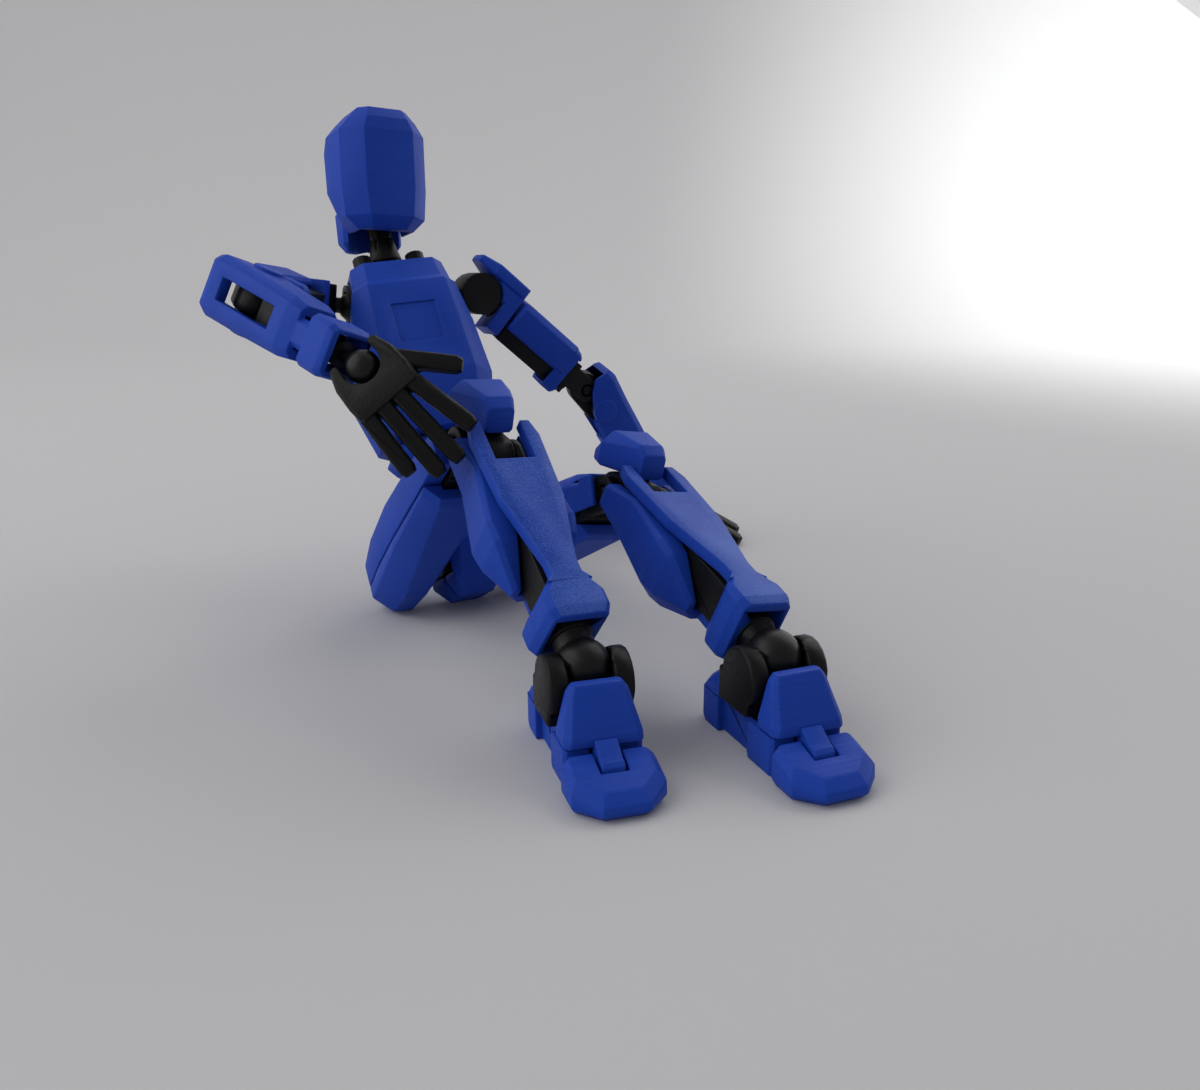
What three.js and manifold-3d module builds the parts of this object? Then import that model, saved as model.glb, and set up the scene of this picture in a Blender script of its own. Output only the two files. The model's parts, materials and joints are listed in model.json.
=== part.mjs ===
// Articulated figure for a desk, printed in two colours: a black jointed frame carries blue armour.
// It sits on the floor with its knees up, propped on its left hand, with its right hand by its right knee.
// Millimetres, +Z up. The figure faces -Y and its left side is at +X.
import * as THREE from 'three';
import { mergeVertices } from 'three/addons/utils/BufferGeometryUtils.js';
import Module from 'manifold-3d';

const wasm = await Module();
wasm.setup();

// Fits and facets
const clearance = 0.3; // gap between two pieces that touch or turn on each other
const seam = 0.8; // gap between two armour shells, where the frame shows
const edgeCut = 0.7; // corner cut of a plain armour edge
const ballSides = 14;
const barrelSides = 18;
const pinSides = 12; // of a thin bar
const thinBar = 2;

// Links
const hipBallRadius = 1.9;
const waistBallRadius = 3.2;
const neckBallRadius = 2.6;
const shoulderBallRadius = 2.4;
const ankleBallRadius = 3.1;
const wristBallRadius = 2.1;
const linkNeckRadius = 1.2;
const hipNeckRadius = 0.8;
const hingePinRadius = 0.8;

// Pelvis
const hipHalfSpan = 8.6; // spine to the centre of a thigh's hip ball
const hipSocketOffset = 3; // spine to the centre of a hip ball inside the pelvis
const pelvisHalfWidth = 4;
const pelvisFront = 5.6;
const pelvisBack = 6.2;
const pelvisDrop = 7.8; // hip line to the underside
const pelvisTop = 7.4;
const pelvisCoreDepth = 3;
const waistHeight = 9.6; // hip line to the lower waist ball
const waistGap = 8.6; // lower waist ball to upper waist ball

// Abdomen ring round the waist link, measured from the lower waist ball
const abdomenHalfWidth = 7.2;
const abdomenHalfDepth = 5.6;
const abdomenBottom = 2.9;
const abdomenTop = 6.6;

// Chest, measured from the upper waist ball
const chestBottom = -1.6;
const ribHeight = 6.5; // the widest place
const shoulderHeight = 22.5;
const collarHeight = 26.3;
const chestHalfWidth = 10.2;
const chestWaistHalf = 8.4;
const shoulderHalfWidth = 7.7;
const collarHalfWidth = 7.2;
const chestFront = 8.6;
const chestBack = 7.4;
const collarFront = 6.4;
const collarBack = 5.6;
const chestCoreHalf = 5;
const chestCoreDepth = 3.6;
const chestUpperDrop = 7;
const panelDepth = 0.5; // recessed panel in the middle of the chest
const panelDrop = 4.6;
const panelHalfWidth = 3.4;
const panelHeight = 6.4;

// Neck and head, measured from the neck's lower ball and from the head's ball
const neckSetBack = 1.2;
const neckHeight = 26.4; // upper waist ball to the neck's lower ball
const neckGap = 11.2;
const neckBarRadius = 1.8;
const neckSkirtRadius = 2.6; // the bar widens towards the chest
const neckSkirtBottom = 3.4;
const neckSkirtTop = 7;
const prongRadius = 1.5;
const prongOffset = 4.2;
const socketRim = 0.7; // of the neck socket above the ball
const prongTop = 3.4;
const prongForward = 1.2;
const headHalfWidth = 6.9;
const headFront = 7.6;
const headBack = 8.4;
const headTop = 14.8;
const chinDrop = 3.3;
const socketTop = 4.6;
const napeDrop = 5.8;
const napeHalfWidth = 4.9;
const napeFront = 0.8;
const napeTop = 0.4;
const napeStep = 1.4;
const napeTopInset = 2.6;
const napeMidInset = 3.4;
const napeLowInset = 4.4;

// Shoulder, measured from the barrel's centre
const shoulderHalfSpan = 13; // spine to the barrel's centre
const shoulderSocketOffset = 7; // spine to the ball in the chest
const barrelRadius = 3.3;
const barrelLength = 6.2;
const capHalfDepth = 3.9;
const capOuter = 5.6;
const capInner = 3.6;
const capTop = 3.4;
const capFloor = 3.8;
const capBottom = 6;

// Arm
const upperArmLength = 24.4; // shoulder barrel to the upper elbow hinge
const elbowGap = 4.4; // between the two elbow hinges
const forearmLength = 23.6; // lower elbow hinge to the wrist ball
const armHalfWidth = 3.8;
const armBack = 4.4;
const armFront = 3.4;
const armSplit = 1; // the armour reaches this far forwards of the bone line
const armArmourEnd = 20.2;
const armBandHeight = 3;
const armFrameHalf = 2.5;
const armFrameBack = 1.8;
const armForkBar = 1.6;
const pegRadius = 1.4;
const elbowRadius = 2.7;
const elbowThickness = 3;
const elbowCheek = 1.1;
const forearmHalfWidth = 4.2;
const forearmBack = 3.9;
const forearmFront = 3.2;
const forearmTop = 5.4; // above the lower elbow hinge
const forearmBody = 13.2; // below it, where the body ends
const forearmNeckHalf = 1.9;
const bossRadius = 2; // round bosses over the lower elbow pin
const bossHeight = 0.45;
const windowHalfWidth = 1.5;
const windowTop = 2;
const windowBottom = 8.8;
const wristCuffHalf = 3.4;
const wristCuffTop = 15.8;
const wristCuffBottom = 20.4;
const wristCuffWall = 1;

// Hand, measured from the wrist ball
const palmHalfWidth = 4.5;
const palmLength = 6;
const palmThickness = 2.8;
const palmTop = 1.8; // above the ball
const wristSlotHalf = 2.4;
const wristHole = 2.5; // round the ball
const fingerLengths = [7.6, 10, 10.2, 8.4]; // little finger to index finger
const fingerTurns = [4, 1, -2, -12]; // degrees from the hand's line
const fingerWidth = 2.05;
const fingerThickness = 2.2;
const fingerGap = 0.25;
const fingerCurl = 12; // degrees
const thumbLength = 8;
const thumbSpread = 44; // degrees
const thumbBase = 4.2; // above the fingers' roots

// Thigh, measured from the hip ball
const thighLength = 30.3; // hip ball to the upper knee hinge
const thighHalfWidth = 4.9;
const thighShift = 1; // armour lies outwards of the bone
const thighFront = 4.8;
const thighBack = 7.2;
const thighTop = 8.2;
const thighArmourEnd = 27.2;
const thighRearEnd = 24.6;
const thighMiddle = 10; // below the hip ball, where the armour is thickest
const seamBack = 2.2; // behind the bone, where the front and rear shells meet
const kneeGuardFront = 2.6; // side walls that reach down to the upper knee hinge
const kneeGuardGap = 0.9;
const thighFrameHalf = 2.7;
const thighFrameTop = 4.4;

// Knee
const kneeGap = 5.4; // between the two knee hinges
const kneeRadius = 2.9;
const kneeThickness = 3.2;
const kneeCheek = 1.1;
const kneeForkBar = 2;
const kneecapHalfWidth = 4.2;
const kneecapFront = 8.4;
const kneecapBack = 3.6;
const kneecapTop = 3;
const kneecapBottom = 6;
const kneecapTabHalf = 1.2;

// Shin, measured from the lower knee hinge
const shinLength = 30.3; // lower knee hinge to the ankle ball
const shinHalfWidth = 4.5;
const shinFront = 4.8;
const shinPlate = 1.5; // thickness of the front plate
const shinWaist = 1.9; // half width of the front plate above the cuff
const shinForkTop = 2;
const shinSlotHalf = 2.6;
const shinSlotEnd = 4;
const calfTop = 2;
const calfBack = 5.9;
const calfHalfWidth = 5.8;
const calfNotch = 11.5; // where the calf shell leaves the front plate
const calfEnd = 18.6;
const shinFrameHalf = 2.3;
const shinFrameBack = 2.2;
const cuffTop = 22;
const cuffBottom = 26.6;
const cuffHalfWidth = 3.9;
const cuffBack = 3.8;
const cuffWall = 1;

// Foot, measured from the ankle ball
const ankleHeight = 10.4; // ball above the floor
const ankleNeckRadius = 2.2;
const ankleCollarRadius = 2.6; // fills the mouth of the cuff
const ankleCollarStart = 3.6;
const footHalfWidth = 4.4;
const heelBack = 9.4;
const sideNotch = 0.9; // the sides of the sole are set in under the ankle
const notchFront = 2.4;
const notchBack = 4.4;
const heelTop = 5.2;
const soleTop = 8.4;
const footFront = 7.6;
const sideTop = 6;
const forkCheek = 2.3;
const forkRadius = 3.5;
const forkDrop = 1.6; // ball to the middle of the fork's round ends
const forkShift = -0.4; // backwards of the ball
const forkBack = 3.9;
const forkFront = 2.5;
const forkStem = 3;
const instepTop = 0.2;
const instepHalfWidth = 3.4;
const instepBack = 4;
const instepFront = 5.9;
const toeHinge = 10.2; // forwards of the ball
const toeHingeDrop = 7.2;
const toeReach = 15.6;
const toeHalfWidth = 5.1;
const toeTop = 6;
const toeSlope = 0.28;
const tabHalfWidth = 1.25;
const tabRadius = 1.1;

// Pose: degrees, and millimetres from the point on the floor below the hips
const pelvisLean = [-30, 1];
const waistBend = [-2, 0.5];
const chestBend = [-2, 0.5];
const chestTwist = -10;
const neckLean = [16, -2];
const headTilt = -11;
const headRoll = 4.5;
const headYaw = -2;
const kneeSway = { right: 4, left: 9 }; // the knees lean to the figure's left
const kneeShare = 0.66; // of the knee's bend that its upper hinge takes
const elbowShare = 0.5;
const ankleSpot = { right: [-11.3, -51.9], left: [7.8, -61.2] };
const footYaw = { right: -16, left: -11 };
const rightWristFromKnee = [-13.7, 1.5, 10.6];
const leftWristSpot = [47.4, 13];
const shoulderRaise = { right: 14, left: 0 };
const elbowSide = { right: [-13, 3, 6], left: [0.76, -0.28, 0.58] };
const fingerWay = { right: [0.3, -0.72, -0.63], left: [0.3, -0.94, -0.11] };
const backOfHand = { right: [-0.52, -0.8, 0.3], left: [0, 0, 1] };

// Materials
const blue = new THREE.MeshStandardMaterial({ color: 0x1d3fb5, roughness: 0.5, metalness: 0 });
const black = new THREE.MeshStandardMaterial({ color: 0x141416, roughness: 0.6, metalness: 0 });

// Solids from three.js geometry
function solidOf(geometry) {
  const bare = new THREE.BufferGeometry();
  bare.setAttribute('position', geometry.getAttribute('position'));
  bare.setIndex(geometry.index);
  const merged = mergeVertices(bare, 1e-4);
  return new wasm.Manifold(new wasm.Mesh({
    numProp: 3,
    vertProperties: new Float32Array(merged.attributes.position.array),
    triVerts: new Uint32Array(merged.index.array),
  }));
}

function meshOf(name, solid, material) {
  const { vertProperties, triVerts } = solid.getMesh();
  const geometry = new THREE.BufferGeometry();
  geometry.setAttribute('position', new THREE.BufferAttribute(new Float32Array(vertProperties), 3));
  geometry.setIndex(new THREE.BufferAttribute(new Uint32Array(triVerts), 1));
  geometry.computeVertexNormals();
  const mesh = new THREE.Mesh(geometry, material);
  mesh.name = name;
  return mesh;
}

const joined = (first, ...others) => others.reduce((sum, next) => sum.add(next), first);
const cut = (first, ...others) => others.reduce((rest, next) => rest.subtract(next), first);

// A box between two opposite corners, given in any order
function block(a, b) {
  const size = a.map((value, i) => Math.abs(value - b[i]));
  const middle = a.map((value, i) => (value + b[i]) / 2);
  return solidOf(new THREE.BoxGeometry(...size).translate(...middle));
}

function ball(radius, [x, y, z] = [0, 0, 0]) {
  return solidOf(new THREE.SphereGeometry(radius, ballSides, ballSides / 2).translate(x, y, z));
}

// A round bar between two points
function rod(radius, from, to) {
  const start = new THREE.Vector3(...from);
  const way = new THREE.Vector3(...to).sub(start);
  const turn = new THREE.Quaternion().setFromUnitVectors(new THREE.Vector3(0, 1, 0), way.clone().normalize());
  const sides = radius < thinBar ? pinSides : barrelSides;
  const bar = new THREE.CylinderGeometry(radius, radius, way.length(), sides);
  return solidOf(bar.applyQuaternion(turn).translate(...start.addScaledVector(way, 0.5).toArray()));
}

// A round bar along X, centred on X = 0
const axle = (radius, length, y = 0, z = 0) => rod(radius, [-length / 2, y, z], [length / 2, y, z]);

// An eight-sided ring at height z: a rectangle with its corners cut off
function ring(z, { left, right, front, back, frontCut = edgeCut, backCut = frontCut }) {
  return [
    [left + frontCut, front], [right - frontCut, front],
    [right, front + frontCut], [right, back - backCut],
    [right - backCut, back], [left + backCut, back],
    [left, back - backCut], [left, front + frontCut],
  ].map(([x, y]) => new THREE.Vector3(x, y, z));
}

// A ring that is alike on both sides; front and back are distances from the bone
function evenRing(z, half, front, back, frontCut, backCut) {
  return ring(z, { left: -half, right: half, front: -front, back, frontCut, backCut });
}

// A closed skin over rings of equal count, listed from the lowest to the highest
function loft(...rings) {
  const sides = rings[0].length;
  const faces = [];
  for (let level = 0; level + 1 < rings.length; level++) {
    for (let i = 0; i < sides; i++) {
      const a = level * sides + i;
      const b = level * sides + (i + 1) % sides;
      faces.push(a, b, b + sides, a, b + sides, a + sides);
    }
  }
  const last = (rings.length - 1) * sides;
  for (let i = 1; i + 1 < sides; i++) faces.push(0, i + 1, i, last, last + i, last + i + 1);
  const geometry = new THREE.BufferGeometry();
  const places = rings.flat().flatMap((p) => p.toArray());
  geometry.setAttribute('position', new THREE.Float32BufferAttribute(places, 3));
  geometry.setIndex(faces);
  return solidOf(geometry);
}

// A plate of the given outline in X and Z, between two depths in Y
function frontPlate(outline, front, back) {
  const shape = new THREE.Shape(outline.map(([x, z]) => new THREE.Vector2(x, z)));
  const plate = new THREE.ExtrudeGeometry(shape, { depth: back - front, bevelEnabled: false });
  return solidOf(plate.rotateX(Math.PI / 2).translate(0, back, 0));
}

const mirrorOutline = (half) => [...half, ...half.map(([x, z]) => [-x, z]).reverse()];

const beyond = 60; // reaches past every piece
const inFrontOf = (y) => block([-beyond, -beyond, -beyond], [beyond, y, beyond]);
const behind = (y) => block([-beyond, y, -beyond], [beyond, beyond, beyond]);

// A link with two round ends for two hinges along X, the second one below the first, with a pin in each
function hingeLink(radius, gap, thickness, cheek) {
  const pins = thickness + 2 * (clearance + cheek);
  return joined(
    axle(radius, thickness),
    axle(radius, thickness, 0, -gap),
    block([-thickness / 2, -radius, -gap], [thickness / 2, radius, 0]),
    axle(hingePinRadius, pins),
    axle(hingePinRadius, pins, 0, -gap),
  );
}

// The two cheeks beside a hinge link, at height z, that reach up or down to the bar they belong to
function hingeCheeks(radius, thickness, cheek, z, reach) {
  const inner = thickness / 2 + clearance;
  return [-1, 1].map((way) => {
    const near = way * inner;
    const wide = way * (inner + cheek);
    return joined(
      rod(radius, [near, 0, z], [wide, 0, z]),
      block([near, -radius, z], [wide, radius, z + reach]),
    );
  });
}

// Joints: a group at the hinge point, with the axis that it turns about
function jointGroup(name, parent, position, axis) {
  const group = new THREE.Group();
  group.name = name;
  group.userData.axis = axis;
  group.position.set(...position);
  parent.add(group);
  return group;
}

const degrees = THREE.MathUtils.degToRad;
const turned = (x, y = 0, z = 0) => new THREE.Euler(degrees(x), degrees(y), degrees(z), 'XYZ');

function worldTurn(group) {
  group.updateWorldMatrix(true, false);
  return new THREE.Quaternion().setFromRotationMatrix(group.matrixWorld);
}

function worldPoint(group, local = [0, 0, 0]) {
  group.updateWorldMatrix(true, false);
  return new THREE.Vector3(...local).applyMatrix4(group.matrixWorld);
}

// Turns a group so that its own axes lie as the given turn says in the figure's frame
function faceWorld(group, turn) {
  group.quaternion.copy(worldTurn(group.parent).invert().multiply(turn));
}

// How far a mesh reaches below its own origin once it is turned
function dropOf(mesh, turn) {
  const places = mesh.geometry.clone().applyQuaternion(turn).attributes.position;
  return -new THREE.Box3().setFromBufferAttribute(places).min.z;
}

// Bend of a limb whose two middle hinges share the bend, the first one by the given share,
// and the angle from its first bone to the line to its tip
function limbBend(first, gap, second, reach, share) {
  const tip = (bend) => new THREE.Vector2(
    first + gap * Math.cos(bend * share) + second * Math.cos(bend),
    gap * Math.sin(bend * share) + second * Math.sin(bend),
  );
  let low = 0;
  let high = Math.PI;
  for (let step = 0; step < 40; step++) {
    const middle = (low + high) / 2;
    if (tip(middle).length() > reach) low = middle;
    else high = middle;
  }
  return { bend: low, lead: tip(low).angle() };
}

// Turn of a limb's first bone, which runs along its -Z; the middle joint stands out towards the pole
function limbTurn(root, target, pole, lead, hingeSign) {
  const line = target.clone().sub(root).normalize();
  const side = new THREE.Vector3().crossVectors(line, pole).normalize();
  const up = line.clone().applyAxisAngle(side, lead).negate();
  const hinge = side.multiplyScalar(hingeSign);
  const basis = new THREE.Matrix4().makeBasis(hinge, new THREE.Vector3().crossVectors(up, hinge), up);
  return new THREE.Quaternion().setFromRotationMatrix(basis);
}

// Pelvis: a frame with three sockets between a front and a rear cover
function pelvisFrame() {
  const half = pelvisHalfWidth - clearance;
  const core = joined(
    block([-half, -pelvisCoreDepth, -pelvisDrop / 2], [half, pelvisCoreDepth, pelvisTop + 1]),
    rod(waistBallRadius + 1.2, [0, 0, pelvisTop + clearance], [0, 0, waistHeight + 0.6]),
  );
  const sockets = [-1, 1].map((way) => ball(hipBallRadius + clearance, [way * hipSocketOffset, 0, 0]));
  return cut(core, ball(waistBallRadius + clearance, [0, 0, waistHeight]), ...sockets);
}

function pelvisMeshes() {
  const shell = loft(
    evenRing(-pelvisDrop, pelvisHalfWidth - 1.4, pelvisFront - 3.4, pelvisBack - 2.4),
    evenRing(-pelvisDrop + 2.6, pelvisHalfWidth, pelvisFront - 1.2, pelvisBack - 0.4),
    evenRing(0, pelvisHalfWidth, pelvisFront, pelvisBack, 1.4),
    evenRing(pelvisTop, pelvisHalfWidth - 0.4, pelvisFront - 1.4, pelvisBack - 1.6, 1.4),
  );
  const core = pelvisCoreDepth + clearance;
  const room = block([-beyond, -core, -pelvisDrop / 2 - clearance], [beyond, core, beyond]);
  const cover = cut(shell, room);
  return [
    meshOf('pelvis_frame', pelvisFrame(), black),
    meshOf('pelvis_front_cover', cover.intersect(inFrontOf(-seam / 2)), blue),
    meshOf('pelvis_rear_cover', cover.intersect(behind(seam / 2)), blue),
  ];
}

function buildPelvis(figure) {
  const pelvis = new THREE.Group();
  pelvis.name = 'pelvis';
  pelvis.setRotationFromEuler(turned(...pelvisLean));
  const meshes = pelvisMeshes();
  pelvis.position.z = Math.max(...meshes.map((mesh) => dropOf(mesh, pelvis.quaternion)));
  pelvis.add(...meshes);
  figure.add(pelvis);
  return pelvis;
}

// A link with a ball at each end, the second one above the first
function ballLink(radius, gap, neck) {
  return joined(ball(radius), ball(radius, [0, 0, gap]), rod(neck, [0, 0, 0], [0, 0, gap]));
}

const waistNeckRadius = linkNeckRadius + 0.5;

function abdomenRing() {
  const taper = 1;
  const slice = (z, less, corner) => {
    const depth = abdomenHalfDepth - less;
    return evenRing(z, abdomenHalfWidth - less, depth, depth, corner);
  };
  const outer = loft(
    slice(abdomenBottom, taper, 1.8),
    slice((abdomenBottom + abdomenTop) / 2, 0, 2),
    slice(abdomenTop, taper, 1.8),
  );
  return cut(
    outer,
    rod(waistNeckRadius + clearance, [0, 0, 0], [0, 0, waistGap]),
    ball(waistBallRadius + clearance),
    ball(waistBallRadius + clearance, [0, 0, waistGap]),
  );
}

// Chest: a frame with the sockets of waist, neck and shoulders, between a front and a back shell
const neckPoint = [0, neckSetBack, neckHeight];
const shoulderTube = shoulderBallRadius + 1;
const neckTube = neckBallRadius + 1.4;

function chestFrame() {
  const core = joined(
    block([-chestCoreHalf, -chestCoreDepth, 0], [chestCoreHalf, chestCoreDepth, shoulderHeight + 1]),
    rod(neckTube, [0, neckSetBack, shoulderHeight], [0, neckSetBack, neckHeight + socketRim]),
    axle(shoulderTube, 2 * (shoulderSocketOffset + 1), 0, shoulderHeight),
    ...[-1, 1].map((way) => rod(prongRadius, [way * prongOffset, -prongForward, shoulderHeight],
      [way * prongOffset, -prongForward, neckHeight + prongTop])),
  );
  const shoulderRoom = shoulderBallRadius + clearance;
  return cut(
    core,
    ball(waistBallRadius + clearance),
    ball(neckBallRadius + clearance, neckPoint),
    ...[-1, 1].map((way) => ball(shoulderRoom, [way * shoulderSocketOffset, 0, shoulderHeight])),
  );
}

function chestOuter() {
  return loft(
    evenRing(chestBottom, chestWaistHalf, chestFront - 1.8, chestBack - 1.6, 2.6),
    evenRing(ribHeight, chestHalfWidth, chestFront, chestBack, 3.4, 3),
    evenRing(shoulderHeight - chestUpperDrop, chestHalfWidth - 0.8, chestFront - 0.1, chestBack - 0.2, 3, 3),
    evenRing(shoulderHeight - 0.8, shoulderHalfWidth + 0.3, chestFront - 0.4, chestBack - 0.6, 2),
    evenRing(shoulderHeight + 0.2, shoulderHalfWidth, chestFront - 1.3, chestBack - 1.2, 2),
    evenRing(collarHeight, collarHalfWidth, collarFront, collarBack, 1.8),
  );
}

function chestMeshes() {
  const half = chestCoreHalf + clearance;
  const depth = chestCoreDepth + clearance;
  const neckRoom = Math.hypot(prongOffset, neckSetBack + prongForward) + prongRadius + clearance;
  const room = joined(
    block([-half, -depth, -clearance], [half, depth, beyond]),
    rod(neckRoom, [0, neckSetBack, shoulderHeight - 1], [0, neckSetBack, beyond]),
    axle(shoulderTube + clearance, 2 * beyond, 0, shoulderHeight),
    rod(waistBallRadius + 1.4, [0, 0, -beyond], [0, 0, clearance]),
  );
  const shell = cut(chestOuter(), room);
  const panel = block(
    [-panelHalfWidth, -beyond, shoulderHeight - panelDrop - panelHeight],
    [panelHalfWidth, -chestFront + panelDepth, shoulderHeight - panelDrop],
  );
  return [
    meshOf('chest_frame', chestFrame(), black),
    meshOf('chest_front_shell', cut(shell.intersect(inFrontOf(-seam / 2)), panel), blue),
    meshOf('chest_back_shell', shell.intersect(behind(seam / 2)), blue),
  ];
}

function buildTorso(pelvis) {
  const waist = jointGroup('waist_bend', pelvis, [0, 0, waistHeight], [1, 0, 0]);
  waist.setRotationFromEuler(turned(...waistBend));
  waist.add(
    meshOf('waist_link', ballLink(waistBallRadius, waistGap, waistNeckRadius), black),
    meshOf('abdomen_ring', abdomenRing(), blue),
  );
  const chest = jointGroup('chest_twist', waist, [0, 0, waistGap], [0, 0, 1]);
  chest.setRotationFromEuler(turned(...chestBend, chestTwist));
  chest.add(...chestMeshes());
  return chest;
}

// Head: a faceted shell round a socket, with a guard behind the neck
const socketRadius = neckBallRadius + 1.4;

function headOuter() {
  return loft(
    evenRing(-chinDrop, headHalfWidth - 2.4, headFront - 1.3, 1.6, 1.8),
    evenRing(-chinDrop + 1.9, headHalfWidth - 0.4, headFront, headBack - 4.6, 3, 5.2),
    evenRing(3, headHalfWidth, headFront, headBack - 1, 3, 5.2),
    evenRing(headTop - 5.6, headHalfWidth, headFront, headBack, 3, 5.6),
    evenRing(headTop - 3.4, headHalfWidth, headFront, headBack - 1, 3, 5.8),
    evenRing(headTop - 1.6, headHalfWidth - 1.5, headFront - 0.3, headBack - 2.2, 2.2, 4.6),
    evenRing(headTop, headHalfWidth - 3, headFront - 1.3, headBack - 4, 1.3, 3.2),
  );
}

function headMeshes() {
  const socket = cut(rod(socketRadius, [0, 0, -0.8], [0, 0, socketTop]), ball(neckBallRadius + clearance));
  const throat = joined(
    rod(socketRadius + clearance, [0, 0, -beyond], [0, 0, socketTop + clearance]),
    block([-socketRadius, -socketRadius - 0.6, -beyond], [socketRadius, 0, -chinDrop + 1.6]),
  );
  const guard = loft(
    evenRing(-napeDrop, napeHalfWidth - 0.9, -napeStep, headBack - napeLowInset, 0.8),
    evenRing(-napeDrop + napeStep, napeHalfWidth, -napeFront, headBack - napeMidInset, 0.9),
    evenRing(napeTop, napeHalfWidth, -napeFront, headBack - napeTopInset, 0.9),
  );
  const guardRoom = block(
    [-napeHalfWidth - clearance, napeFront - clearance, -beyond],
    [napeHalfWidth + clearance, beyond, napeTop + clearance],
  );
  return [
    meshOf('head_socket', socket, black),
    meshOf('head_shell', cut(headOuter(), throat, guardRoom), blue),
    meshOf('nape_guard', cut(guard, rod(socketRadius + clearance, [0, 0, -beyond], [0, 0, beyond])), blue),
  ];
}

function neckLink() {
  const height = neckSkirtTop - neckSkirtBottom;
  const skirt = new THREE.CylinderGeometry(neckBarRadius, neckSkirtRadius, height, barrelSides);
  skirt.rotateX(Math.PI / 2).translate(0, 0, neckSkirtBottom + height / 2);
  return joined(ballLink(neckBallRadius, neckGap, neckBarRadius), solidOf(skirt));
}

function buildHead(chest) {
  const neck = jointGroup('neck_nod', chest, neckPoint, [1, 0, 0]);
  neck.setRotationFromEuler(turned(...neckLean));
  neck.add(meshOf('neck_link', neckLink(), black));
  const head = jointGroup('head_turn', neck, [0, 0, neckGap], [0, 0, 1]);
  const pose = new THREE.Euler(degrees(headTilt), degrees(headRoll), degrees(headYaw), 'ZYX');
  faceWorld(head, new THREE.Quaternion().setFromEuler(pose));
  head.add(...headMeshes());
}

// Thigh: a frame from hip socket to knee fork, between a front and a rear shell. Outwards is side * X.
function hipLink(side) {
  const inner = [side * (hipSocketOffset - hipHalfSpan), 0, 0];
  return joined(ball(hipBallRadius), ball(hipBallRadius, inner), rod(hipNeckRadius, inner, [0, 0, 0]));
}

function thighRing(side, z, less, front, back, frontCut, backCut) {
  const half = thighHalfWidth - less;
  const middle = side * thighShift;
  return ring(z, { left: middle - half, right: middle + half, front: -front, back, frontCut, backCut });
}

function thighOuter(side) {
  return loft(
    thighRing(side, -thighArmourEnd, 0, thighFront - 1.4, thighBack - 3.8, 1.6),
    thighRing(side, -thighArmourEnd + 4, 0, thighFront - 0.5, thighBack - 2.2, 2),
    thighRing(side, -thighMiddle, 0, thighFront, thighBack - 0.8, 2, 2.8),
    thighRing(side, -1, 0.3, thighFront - 0.3, thighBack, 2.2, 3),
    thighRing(side, thighTop - 3, 0.9, thighFront - 1.5, thighBack - 0.5, 2, 2.6),
    thighRing(side, thighTop, 2.1, thighFront - 3, thighBack - 2.8, 1.4, 1.8),
  );
}

const kneeForkHalf = kneeThickness / 2 + clearance + kneeCheek;
const kneeCheekRadius = kneeGap / 2 - clearance;
const kneeBar = thighLength - kneeRadius - 1; // below the hip ball, where the fork starts

function thighMeshes(side) {
  const half = thighFrameHalf;
  const hipRoom = [
    ball(hipBallRadius + clearance),
    rod(hipNeckRadius + 0.9, [-side * beyond, 0, 0], [0, 0, 0]),
  ];
  const frame = cut(
    joined(
      block([-half, -half, -kneeBar], [half, half, thighFrameTop]),
      block([-kneeForkHalf, -half, -kneeBar], [kneeForkHalf, half, -kneeBar + kneeForkBar]),
      ...hingeCheeks(kneeCheekRadius, kneeThickness, kneeCheek, -thighLength, kneeRadius + 2),
    ),
    ...hipRoom,
    axle(hingePinRadius + clearance, beyond, 0, -thighLength),
  );
  const core = half + clearance;
  const fork = kneeForkHalf + clearance;
  const room = [
    block([-core, -core, -beyond], [core, core, thighFrameTop + clearance]),
    block([-fork, -core, -beyond], [fork, core, -kneeBar + kneeForkBar + clearance]),
    rod(hipNeckRadius + 2, [-side * beyond, 0, 0], [0, 0, 0]),
  ];
  const guards = [-1, 1].map((way) => block(
    [way * fork, -kneeGuardFront, -thighLength + kneeGuardGap],
    [side * thighShift + way * (thighHalfWidth - (way === side ? 0.6 : 0)), seamBack, 1 - thighArmourEnd],
  ));
  const shell = joined(cut(thighOuter(side), ...room), ...guards);
  // The seam is wide on the inner side, where the frame shows, and shut on the outer side
  const split = clearance / 2;
  const frontHalf = shell.intersect(inFrontOf(seamBack - split));
  const rearHalf = shell.intersect(behind(seamBack + split));
  const innerSeam = block([-side * beyond, seamBack - seam, -beyond], [0, seamBack + seam, beyond]);
  const kneeEnd = block([-beyond, -beyond, -beyond], [beyond, beyond, -thighRearEnd]);
  const name = side > 0 ? 'left' : 'right';
  return [
    meshOf(`${name}_thigh_frame`, frame, black),
    meshOf(`${name}_thigh_front_shell`, cut(frontHalf, innerSeam), blue),
    meshOf(`${name}_thigh_rear_shell`, cut(rearHalf, innerSeam, kneeEnd), blue),
  ];
}

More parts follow.
